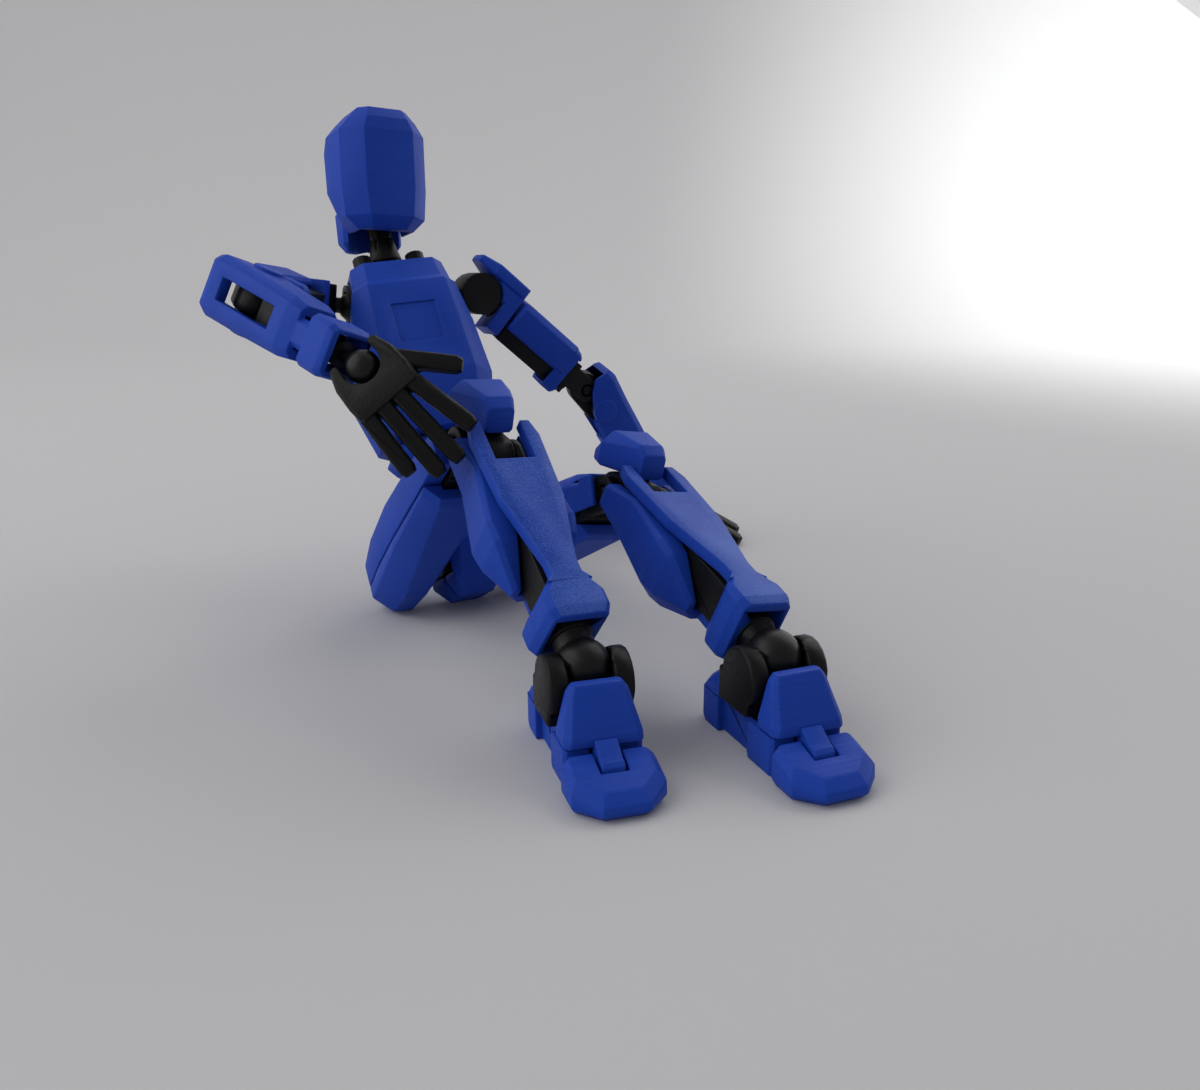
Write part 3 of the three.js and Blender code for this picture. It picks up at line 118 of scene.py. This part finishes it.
# The paper's colour whitens towards the centre of the pool of painted light.
painted_light_place = paper_nodes.new("ShaderNodeMapping")
painted_light_place.inputs["Location"].default_value = -painted_light_spot / painted_light_reach
painted_light_place.inputs["Scale"].default_value = (1 / painted_light_reach, 1 / painted_light_reach, 1 / painted_light_reach)
paper_links.new(paper_nodes.new("ShaderNodeTexCoord").outputs["Object"], painted_light_place.inputs["Vector"])
painted_light_fade = paper_nodes.new("ShaderNodeTexGradient")
painted_light_fade.gradient_type = "SPHERICAL"
paper_links.new(painted_light_place.outputs["Vector"], painted_light_fade.inputs["Vector"])
paper_and_painted_light_tone = paper_nodes.new("ShaderNodeValToRGB")
paper_and_painted_light_tone.color_ramp.interpolation = "EASE"
paper_and_painted_light_tone.color_ramp.elements[0].color = paper_grey
paper_and_painted_light_tone.color_ramp.elements[1].color = paper_painted_light
paper_and_painted_light_tone.color_ramp.elements[1].position = painted_light_full
paper_links.new(painted_light_fade.outputs["Fac"], paper_and_painted_light_tone.inputs["Fac"])
paper_links.new(paper_and_painted_light_tone.outputs["Color"], paper_shader.inputs["Base Color"])
# Painted glow: inside the pool of painted light the paper emits light, seen by the camera and in
# reflections.
painted_glow = paper_nodes.new("ShaderNodeMapRange")
painted_glow.interpolation_type = "SMOOTHSTEP"
painted_glow.inputs["From Max"].default_value = painted_glow_full
painted_glow.inputs["To Max"].default_value = painted_glow_strength
paper_links.new(painted_light_fade.outputs["Fac"], painted_glow.inputs["Value"])
ray = paper_nodes.new("ShaderNodeLightPath")
mirrored = paper_nodes.new("ShaderNodeMath")
mirrored.operation = "MAXIMUM"
paper_links.new(ray.outputs["Is Glossy Ray"], mirrored.inputs[0])
paper_links.new(ray.outputs["Is Transmission Ray"], mirrored.inputs[1])
seen = paper_nodes.new("ShaderNodeMath")
seen.operation = "MAXIMUM"
paper_links.new(ray.outputs["Is Camera Ray"], seen.inputs[0])
paper_links.new(mirrored.outputs[0], seen.inputs[1])
seen_painted_glow = paper_nodes.new("ShaderNodeMath")
seen_painted_glow.operation = "MULTIPLY"
paper_links.new(painted_glow.outputs["Result"], seen_painted_glow.inputs[0])
paper_links.new(seen.outputs[0], seen_painted_glow.inputs[1])
paper_shader.inputs["Emission Color"].default_value = painted_glow_tint
paper_links.new(seen_painted_glow.outputs[0], paper_shader.inputs["Emission Strength"])
paper.data.materials.append(paper_finish)

left_spot = Vector((-0.5, 0.15, 0.32))
left_watts = 2.5
right_spot = Vector((0.5, 0.15, 0.32))
right_watts = 2.5
back_spot = Vector((0.12, 0.28, 0.5))
back_watts = 0.6
lamp_size = 0.8
look_at = Vector((0, 0, 0.03))
for lamp_name, spot, watts in (
    ("left_lamp", left_spot, left_watts),
    ("right_lamp", right_spot, right_watts),
    ("back_lamp", back_spot, back_watts),
):
    lamp_data = bpy.data.lights.new(lamp_name, "AREA")
    lamp_data.size = lamp_size
    lamp_data.energy = watts
    lamp = bpy.data.objects.new(lamp_name, lamp_data)
    lamp.location = spot
    lamp.rotation_euler = (look_at - spot).to_track_quat("-Z", "Y").to_euler()
    bpy.context.collection.objects.link(lamp)

sky_tint = (0.94, 0.96, 1, 1)
sky_strength = 0.3
world = bpy.data.worlds.new("studio")
world.use_nodes = True
world.node_tree.nodes["Background"].inputs["Color"].default_value = sky_tint
world.node_tree.nodes["Background"].inputs["Strength"].default_value = sky_strength
bpy.context.scene.world = world
bpy.context.scene.view_settings.view_transform = "Standard"

# Pelvis: a black core with the hip and waist sockets, clipped between two blue covers.
# Every piece is satin plastic printed in thin layers, so its finish has fine lines across
# the print, faint bands of tone and a little grain. Its rounded corners are paler: a painted highlight.
layer_height = 0.0002
blue = (0.0135, 0.062, 0.44, 1)
blue_dark = (0.0115, 0.054, 0.39, 1)
# Paler blue for the rounded corners: a painted highlight.
blue_corner_highlight = (0.085, 0.21, 0.82, 1)
black = (0.0062, 0.0062, 0.0066, 1)
black_dark = (0.0042, 0.0042, 0.0046, 1)
# Lighter black for the rounded corners: a painted highlight.
black_corner_highlight = (0.011, 0.011, 0.0115, 1)
half_layer = 0.5
band_scale = 0.7
band_share = 0.4
drift_scale = 110
drift_detail = 3
speck_detail = 2
tone_low = 0.38
tone_high = 0.62
speck_low = 0.3
speck_high = 0.7
gloss_drop = 0.06
gloss_rise = 0.08
relief_strength = 0.5
relief_depth = 0.0001


def printed_plastic(name, dark, light, layers, grain, gloss, ridge=0.1, shine=0.3, speck=0.0004, fleck=0):
    """Plastic printed in layers stacked along layers, with ridges, and grain that may show as paler flecks,
    which are partly grain and partly painted glints.
    """
    finish = bpy.data.materials.new(name)
    finish.use_nodes = True
    nodes = finish.node_tree.nodes
    links = finish.node_tree.links
    shader = nodes["Principled BSDF"]
    shader.inputs["Specular IOR Level"].default_value = shine
    place = nodes.new("ShaderNodeTexCoord").outputs["Object"]

    height = nodes.new("ShaderNodeVectorMath")
    height.operation = "DOT_PRODUCT"
    height.inputs[1].default_value = layers.normalized()
    links.new(place, height.inputs[0])
    count = nodes.new("ShaderNodeMath")
    count.operation = "MULTIPLY"
    count.inputs[1].default_value = 1 / layer_height
    links.new(height.outputs["Value"], count.inputs[0])
    saw = nodes.new("ShaderNodeMath")
    saw.operation = "PINGPONG"
    saw.inputs[1].default_value = half_layer
    links.new(count.outputs[0], saw.inputs[0])
    bands = nodes.new("ShaderNodeTexNoise")
    bands.noise_dimensions = "1D"
    bands.inputs["Scale"].default_value = band_scale
    links.new(count.outputs[0], bands.inputs["W"])

    drift = nodes.new("ShaderNodeTexNoise")
    drift.inputs["Scale"].default_value = drift_scale
    drift.inputs["Detail"].default_value = drift_detail
    links.new(place, drift.inputs["Vector"])
    blend = nodes.new("ShaderNodeMath")
    blend.operation = "MULTIPLY_ADD"
    blend.inputs[1].default_value = band_share
    links.new(bands.outputs["Fac"], blend.inputs[0])
    drift_share = nodes.new("ShaderNodeMath")
    drift_share.operation = "MULTIPLY"
    drift_share.inputs[1].default_value = 1 - band_share
    links.new(drift.outputs["Fac"], drift_share.inputs[0])
    links.new(drift_share.outputs[0], blend.inputs[2])
    speckle = nodes.new("ShaderNodeTexNoise")
    speckle.inputs["Scale"].default_value = 1 / speck
    speckle.inputs["Detail"].default_value = speck_detail
    links.new(place, speckle.inputs["Vector"])
    # Where fleck is above zero the speckle pales the colour in points: partly grain, partly painted glints.
    flecks = nodes.new("ShaderNodeMath")
    flecks.operation = "MULTIPLY_ADD"
    flecks.inputs[1].default_value = fleck
    links.new(speckle.outputs["Fac"], flecks.inputs[0])
    links.new(blend.outputs[0], flecks.inputs[2])
    tone = nodes.new("ShaderNodeValToRGB")
    tone.color_ramp.elements[0].position = tone_low + fleck / 2
    tone.color_ramp.elements[0].color = dark
    tone.color_ramp.elements[1].position = tone_high + fleck / 2
    tone.color_ramp.elements[1].color = light
    links.new(flecks.outputs[0], tone.inputs["Fac"])
    links.new(tone.outputs["Color"], shader.inputs["Base Color"])

    rough = nodes.new("ShaderNodeMapRange")
    rough.inputs["From Min"].default_value = speck_low
    rough.inputs["From Max"].default_value = speck_high
    rough.inputs["To Min"].default_value = gloss - gloss_drop
    rough.inputs["To Max"].default_value = gloss + gloss_rise
    links.new(speckle.outputs["Fac"], rough.inputs["Value"])
    links.new(rough.outputs["Result"], shader.inputs["Roughness"])

    relief = nodes.new("ShaderNodeMath")
    relief.operation = "MULTIPLY_ADD"
    relief.inputs[1].default_value = grain
    links.new(speckle.outputs["Fac"], relief.inputs[0])
    bead = nodes.new("ShaderNodeMath")
    bead.operation = "MULTIPLY"
    bead.inputs[1].default_value = ridge
    links.new(saw.outputs[0], bead.inputs[0])
    links.new(bead.outputs[0], relief.inputs[2])
    bump = nodes.new("ShaderNodeBump")
    bump.inputs["Strength"].default_value = relief_strength
    bump.inputs["Distance"].default_value = relief_depth
    links.new(relief.outputs[0], bump.inputs["Height"])
    links.new(bump.outputs["Normal"], shader.inputs["Normal"])
    return finish


weld_gap = 0.00005
sliver_width = 0.00001
flat_angle = math.radians(1)
rounding_steps = 2
stray_share = 0.7


def rounded_copy(node, edge, crease, shaped=None):
    """A copy of a solid: its triangles joined into flat faces, its corners sharper than crease rounded.
    The function shaped, where there is one, reworks the copy first. Elsewhere points that the rounding
    throws off the solid are put back on it."""
    bpy.ops.object.select_all(action="DESELECT")
    piece = bpy.data.objects.new(f"{node}_print", frame["nodes"][node].data.copy())
    bpy.context.collection.objects.link(piece)
    bpy.context.view_layer.objects.active = piece
    piece.select_set(True)
    if shaped:
        shaped(piece)
    bpy.ops.object.mode_set(mode="EDIT")
    bpy.ops.mesh.select_all(action="SELECT")
    bpy.ops.mesh.remove_doubles(threshold=weld_gap)
    bpy.ops.mesh.dissolve_degenerate(threshold=sliver_width)
    bpy.ops.mesh.dissolve_limited(angle_limit=flat_angle)
    bpy.ops.object.mode_set(mode="OBJECT")
    bpy.ops.object.shade_smooth()
    rounding = piece.modifiers.new("rounding", "BEVEL")
    rounding.width = edge
    rounding.segments = rounding_steps
    rounding.limit_method = "ANGLE"
    rounding.angle_limit = crease
    rounding.use_clamp_overlap = False
    rounding.harden_normals = True
    # The rounded corners take the second finish, the one with the painted highlight.
    rounding.material = 1
    bpy.ops.object.modifier_apply(modifier="rounding")
    if not shaped:
        solid = frame["nodes"][node]
        for point in piece.data.vertices:
            nearest = solid.closest_point_on_mesh(point.co)[1]
            if (nearest - point.co).length > stray_share * edge:
                point.co = nearest
    return piece


def put_on(piece, node, body, face, corner):
    """Gives a piece its face finish and its corner finish with the painted highlight, and puts it in place
    of its solid.
    """
    piece.data.materials.clear()
    piece.data.materials.append(face)
    piece.data.materials.append(corner)
    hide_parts(node)
    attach(piece, body)
    return piece


blue_edge = 0.00018
blue_crease = math.radians(7)
blue_grain = 0.25
blue_gloss = 0.5
blue_shine = 0.14
blue_corner_gloss = 0.4


def armour(node, body, layers, edge=blue_edge, shaped=None):
    """A blue armour piece, printed in layers stacked along layers."""
    face = printed_plastic(f"blue_{node}", blue_dark, blue, layers, blue_grain, blue_gloss, shine=blue_shine)
    # The corner finish pales to the painted highlight colour.
    corner = printed_plastic(f"blue_corner_highlight_{node}", blue, blue_corner_highlight, layers, blue_grain, blue_corner_gloss)
    piece = rounded_copy(node, edge, blue_crease, shaped)
    return put_on(piece, node, body, face, corner)


black_edge = 0.00016
black_crease = math.radians(28)
black_grain = 0.2
black_gloss = 0.44
black_shine = 0.2
black_corner_gloss = 0.38


def black_print(node, body, layers, edge=black_edge, grain=black_grain):
    """A black frame piece, printed in layers stacked along layers."""
    face = printed_plastic(f"black_{node}", black_dark, black, layers, grain, black_gloss, shine=black_shine)
    # The corner finish lightens to the painted highlight colour.
    corner = printed_plastic(
        f"black_corner_highlight_{node}", black, black_corner_highlight, layers, black_grain, black_corner_gloss,
    )
    piece = rounded_copy(node, edge, black_crease)
    return put_on(piece, node, body, face, corner)


spine = (joint_point["chest_twist"] - joint_point["waist_bend"]).normalized()
black_print("pelvis_frame", "pelvis", spine)
armour("pelvis_front_cover", "pelvis", spine)
armour("pelvis_rear_cover", "pelvis", spine)

# Waist: a black bar with a ball at each end, pressed into the pelvis and the chest.
# A blue ring of printed plastic hangs loosely round it and fills the gap.
black_print("waist_link", "abdomen", spine)
armour("abdomen_ring", "abdomen", spine)

# Chest: a black core with the sockets of the waist, neck and shoulders, and two posts
# beside the neck. Two blue shells, printed upright, close round it, and the front one
# has a bare recessed panel under its collar band.
black_print("chest_frame", "chest", spine)
armour("chest_front_shell", "chest", spine)
armour("chest_back_shell", "chest", spine)

# Neck and head: a black bar with two balls, a black cup glued into the skull, and a blue
# faceted skull with a flat front, printed upright on its chin. A blue guard closes the nape.
joint_axis = {joint["name"]: Vector(joint["axis"]).normalized() for joint in frame["joints"]}
crown = joint_axis["head_turn"]
skull_edge = 0.00012
black_print("neck_link", "neck", crown)
black_print("head_socket", "head", crown)
armour("head_shell", "head", crown, edge=skull_edge)
armour("nape_guard", "head", crown)

# Shoulders: a black ball and barrel, pressed into the chest, carries the whole arm.
# The blue deltoid plate turns round the barrel and is printed on its outer face.
for side in ("right", "left"):
    barrel = joint_axis[f"{side}_shoulder_lift"]
    outwards = joint_point[f"{side}_shoulder_lift"] - joint_point[f"{side}_shoulder_swing"]
    black_print(f"{side}_shoulder_link", f"{side}_shoulder", barrel)
    armour(f"{side}_shoulder_cap", f"{side}_deltoid", outwards)

# Upper arms: a black bar with a swivel peg above and an elbow fork below, printed flat.
# A blue shell open at the front is clipped on, with a raised band at its lower end.
for side in ("right", "left"):
    arm_line = joint_point[f"{side}_shoulder_lift"] - joint_point[f"{side}_elbow_upper"]
    arm_front = arm_line.cross(joint_axis[f"{side}_elbow_upper"])
    black_print(f"{side}_upper_arm_frame", f"{side}_upper_arm", arm_front)
    armour(f"{side}_upper_arm_armour", f"{side}_upper_arm", arm_front)

# Elbows: a flat black link with a pin through each end, printed on its side. The pins clip
# into the forks of the upper arm and the forearm, so that the elbow folds in two places.
for side in ("right", "left"):
    black_print(f"{side}_elbow_link", f"{side}_elbow", joint_axis[f"{side}_elbow_upper"])

# Forearms: a black bar with a fork at the elbow and a hole for the wrist, printed flat.
# The blue shell has a window over the elbow, a notched neck and a square cuff.
for side in ("right", "left"):
    arm_line = joint_point[f"{side}_elbow_lower"] - joint_point[f"{side}_wrist_bend"]
    arm_front = arm_line.cross(joint_axis[f"{side}_elbow_lower"])
    black_print(f"{side}_forearm_frame", f"{side}_forearm", arm_front)
    armour(f"{side}_forearm_armour", f"{side}_forearm", arm_front)

# Wrists: a black peg that turns in the forearm, with a collar in the cuff's mouth and
# a ball on its end. It is printed upright on the peg.
round_sides = 48
ball_rings = 24
peg_edge = 0.00015
peg_crease = math.radians(30)
peg_gloss = 0.4
peg_corner_gloss = 0.36
cut_slack = 0.000001


def ball_peg(name, centre, way, radius, steps):
    """A ball with a stepped peg that stands out of it along way, each step a radius and a top."""
    bpy.ops.object.select_all(action="DESELECT")
    bpy.ops.mesh.primitive_uv_sphere_add(segments=round_sides, ring_count=ball_rings, radius=radius)
    piece = bpy.context.object
    piece.name = name
    width = steps[0][0]
    level = math.sqrt(radius ** 2 - width ** 2)
    bpy.ops.object.mode_set(mode="EDIT")
    bpy.ops.mesh.select_mode(type="FACE")
    bpy.ops.mesh.select_all(action="SELECT")
    bpy.ops.mesh.bisect(
        plane_co=(0, 0, level), plane_no=(0, 0, 1), clear_outer=True, use_fill=True, threshold=cut_slack,
    )
    for step_width, top in steps:
        if step_width != width:
            bpy.ops.mesh.extrude_region_move(TRANSFORM_OT_translate={"value": (0, 0, 0)})
            scale = step_width / width
            bpy.ops.transform.resize(value=(scale, scale, 1), center_override=(0, 0, level))
        bpy.ops.mesh.extrude_region_move(TRANSFORM_OT_translate={"value": (0, 0, top - level)})
        width = step_width
        level = top
    bpy.ops.mesh.select_all(action="SELECT")
    bpy.ops.mesh.normals_make_consistent(inside=False)
    bpy.ops.object.mode_set(mode="OBJECT")
    rounding = piece.modifiers.new("rounding", "BEVEL")
    rounding.width = peg_edge
    rounding.segments = rounding_steps
    rounding.limit_method = "ANGLE"
    rounding.angle_limit = peg_crease
    # The rounded corners take the second finish, the one with the painted highlight.
    rounding.material = 1
    bpy.ops.object.modifier_apply(modifier="rounding")
    bpy.ops.object.shade_smooth_by_angle(angle=peg_crease)
    piece.location = centre
    piece.rotation_euler = way.to_track_quat("Z", "Y").to_euler()
    bpy.ops.object.transform_apply(location=True, rotation=True, scale=True)
    return piece


def black_ball_peg(node, body, centre, way, radius, steps):
    """A black ball peg in place of its solid, printed in layers along the peg."""
    face = printed_plastic(f"black_{node}", black_dark, black, way, black_grain, peg_gloss)
    # The corner finish lightens to the painted highlight colour.
    corner = printed_plastic(f"black_corner_highlight_{node}", black, black_corner_highlight, way, black_grain, peg_corner_gloss)
    piece = ball_peg(f"{node}_print", centre, way, radius, steps)
    return put_on(piece, node, body, face, corner)


wrist_ball = 0.0021
wrist_steps = ((0.0008, 0.0042), (0.0017, 0.0067), (0.0008, 0.0096))
for side in ("right", "left"):
    wrist = joint_point[f"{side}_wrist_bend"]
    arm_line = (joint_point[f"{side}_elbow_lower"] - wrist).normalized()
    black_ball_peg(f"{side}_wrist_peg", f"{side}_wrist", wrist, arm_line, wrist_ball, wrist_steps)

# Hands: one black piece each, printed flat on the palm, with four fingers and a thumb.
# An open slot at the wrist grips the ball.
hand_grain = 0.9
for side in ("right", "left"):
    black_print(f"{side}_hand", f"{side}_palm", joint_axis[f"{side}_wrist_bend"], grain=hand_grain)

# Hips: a thin black bar with a ball at each end, printed lying down. One ball is pressed
# into the pelvis and the other into the thigh, so that the leg swings and spreads.
for side in ("right", "left"):
    black_print(f"{side}_hip_link", f"{side}_hip", spine)

# Thighs: a black bar with the hip socket and the knee fork, printed flat. Two blue shells
# close round it, with a seam along the limb where the black shows.
for side in ("right", "left"):
    thigh_line = joint_point[f"{side}_hip_swing"] - joint_point[f"{side}_knee_upper"]
    thigh_front = thigh_line.cross(joint_axis[f"{side}_knee_upper"])
    black_print(f"{side}_thigh_frame", f"{side}_thigh", thigh_front)
    armour(f"{side}_thigh_front_shell", f"{side}_thigh", thigh_front)
    armour(f"{side}_thigh_rear_shell", f"{side}_thigh", thigh_front)

# Knees: a flat black link with a pin through each end, printed on its side. The blue
# kneecap is clipped on the front of the link and printed on its flat back.
for side in ("right", "left"):
    link_line = joint_point[f"{side}_knee_upper"] - joint_point[f"{side}_knee_lower"]
    link_front = link_line.cross(joint_axis[f"{side}_knee_upper"])
    black_print(f"{side}_knee_link", f"{side}_knee", joint_axis[f"{side}_knee_upper"])
    armour(f"{side}_kneecap", f"{side}_knee", link_front)

# Shins: a black bar with the knee fork and the ankle hole, printed flat. The blue front
# plate is printed face down, so its face has the grain of the textured print bed, and
# its cuff closes round the bar. That face is flecked and paler, partly the bed's grain and
# partly painted light: painted glints and a lighter tone. A blue calf shell is clipped on behind.
bed_grain = 0.9
bed_gloss = 0.42
bed_ridge = 0
bed_shine = 0.13
bed_speck = 0.00024
bed_fleck = 0.5
# Paler blue for the bed face: partly the bed's grain, partly painted glints and a painted lighter tone.
bed_grain_and_glint_blue = (0.058, 0.13, 0.52, 1)
bed_step = 0.00015
bed_facing = 0.9


def face_with(piece, way, least, finish):
    """Gives the flat faces of a piece that look along way their own finish."""
    piece.data.materials.append(finish)
    last = len(piece.data.materials) - 1
    for face in piece.data.polygons:
        if face.material_index == 0 and face.normal.dot(way) > least:
            face.material_index = last


for side in ("right", "left"):
    shin_line = (joint_point[f"{side}_knee_lower"] - joint_point[f"{side}_ankle_bend"]).normalized()
    shin_front = shin_line.cross(joint_axis[f"{side}_knee_lower"]).normalized()
    if shin_front.y > 0:
        shin_front.negate()
    black_print(f"{side}_shin_frame", f"{side}_shin", shin_front)

    def press_on_bed(piece, way=shin_front):
        """Levels the small steps in the face that lay on the print bed."""
        level = max(point.co.dot(way) for point in piece.data.vertices)
        for point in piece.data.vertices:
            sunk = level - point.co.dot(way)
            if sunk < bed_step:
                point.co += sunk * way

    plate = armour(f"{side}_shin_armour", f"{side}_shin", shin_front, shaped=press_on_bed)
    # The bed face: flecked and paler, partly grain and partly painted glints and painted light.
    bed_face = printed_plastic(
        f"blue_bed_grain_and_glint_{side}", blue_dark, bed_grain_and_glint_blue, shin_front,
        bed_grain, bed_gloss, bed_ridge, bed_shine, bed_speck, bed_fleck,
    )
    face_with(plate, shin_front, bed_facing, bed_face)
    armour(f"{side}_calf_shell", f"{side}_shin", shin_front)

# Ankles: a black peg turns in the shin's hole and ends in a large ball under the cuff.
# A black fork with two fat round cheeks holds the ball and plugs into the foot.
ankle_ball = 0.0031
cheek_edge = 0.0004
ankle_steps = ((0.0022, 0.0036), (0.0026, 0.0068), (0.0017, 0.0101))
for side in ("right", "left"):
    ankle = joint_point[f"{side}_ankle_bend"]
    shin_line = (joint_point[f"{side}_knee_lower"] - ankle).normalized()
    black_ball_peg(f"{side}_ankle_peg", f"{side}_ankle", ankle, shin_line, ankle_ball, ankle_steps)
    black_print(f"{side}_ankle_fork", f"{side}_foot", joint_axis[f"{side}_ankle_bend"], edge=cheek_edge)

# Feet: a blue sole with a stepped heel, a sloped instep cover with the toe's hinge tab,
# and a hinged toe cap. They are printed standing on the sole, so the shallow slopes of
# the toe show their layers as wide contour lines.
sole_up = Vector((0, 0, 1))
contour_gloss = 0.44
contour_ridge = 0.5
contour_shine = 0.12
contour_facing = 0.8
tab_half = 0.00125
tab_top = 0.0011
tab_root = 0.0026
tab_rise = 0.00135
tab_forward = 0.00065
tab_slack = 0.0001
for side in ("right", "left"):
    hinge = joint_point[f"{side}_toe_bend"]
    hinge_line = joint_axis[f"{side}_toe_bend"]
    heelwards = sole_up.cross(hinge_line)
    if heelwards.dot(joint_point[f"{side}_ankle_bend"] - hinge) < 0:
        heelwards.negate()

    def ramp_the_tab(piece, hinge=hinge, across=hinge_line, back=heelwards):
        """Raises the root of the hinge tab, so that it runs up to the instep's slope."""
        for point in piece.data.vertices:
            away = point.co - hinge
            on_side = abs(abs(away.dot(across)) - tab_half) < tab_slack
            on_top = abs(away.z - tab_top) < tab_slack
            on_root = abs(away.dot(back) - tab_root) < tab_slack
            if on_side and on_top and on_root:
                point.co += tab_rise * sole_up - tab_forward * back

    armour(f"{side}_foot_body", f"{side}_foot", sole_up)
    armour(f"{side}_instep_cover", f"{side}_foot", sole_up, shaped=ramp_the_tab)
    toe = armour(f"{side}_toe_cap", f"{side}_toe", sole_up)
    contours = printed_plastic(
        f"blue_contour_{side}", blue_dark, blue, sole_up,
        blue_grain, contour_gloss, contour_ridge, contour_shine,
    )
    face_with(toe, sole_up, contour_facing, contours)
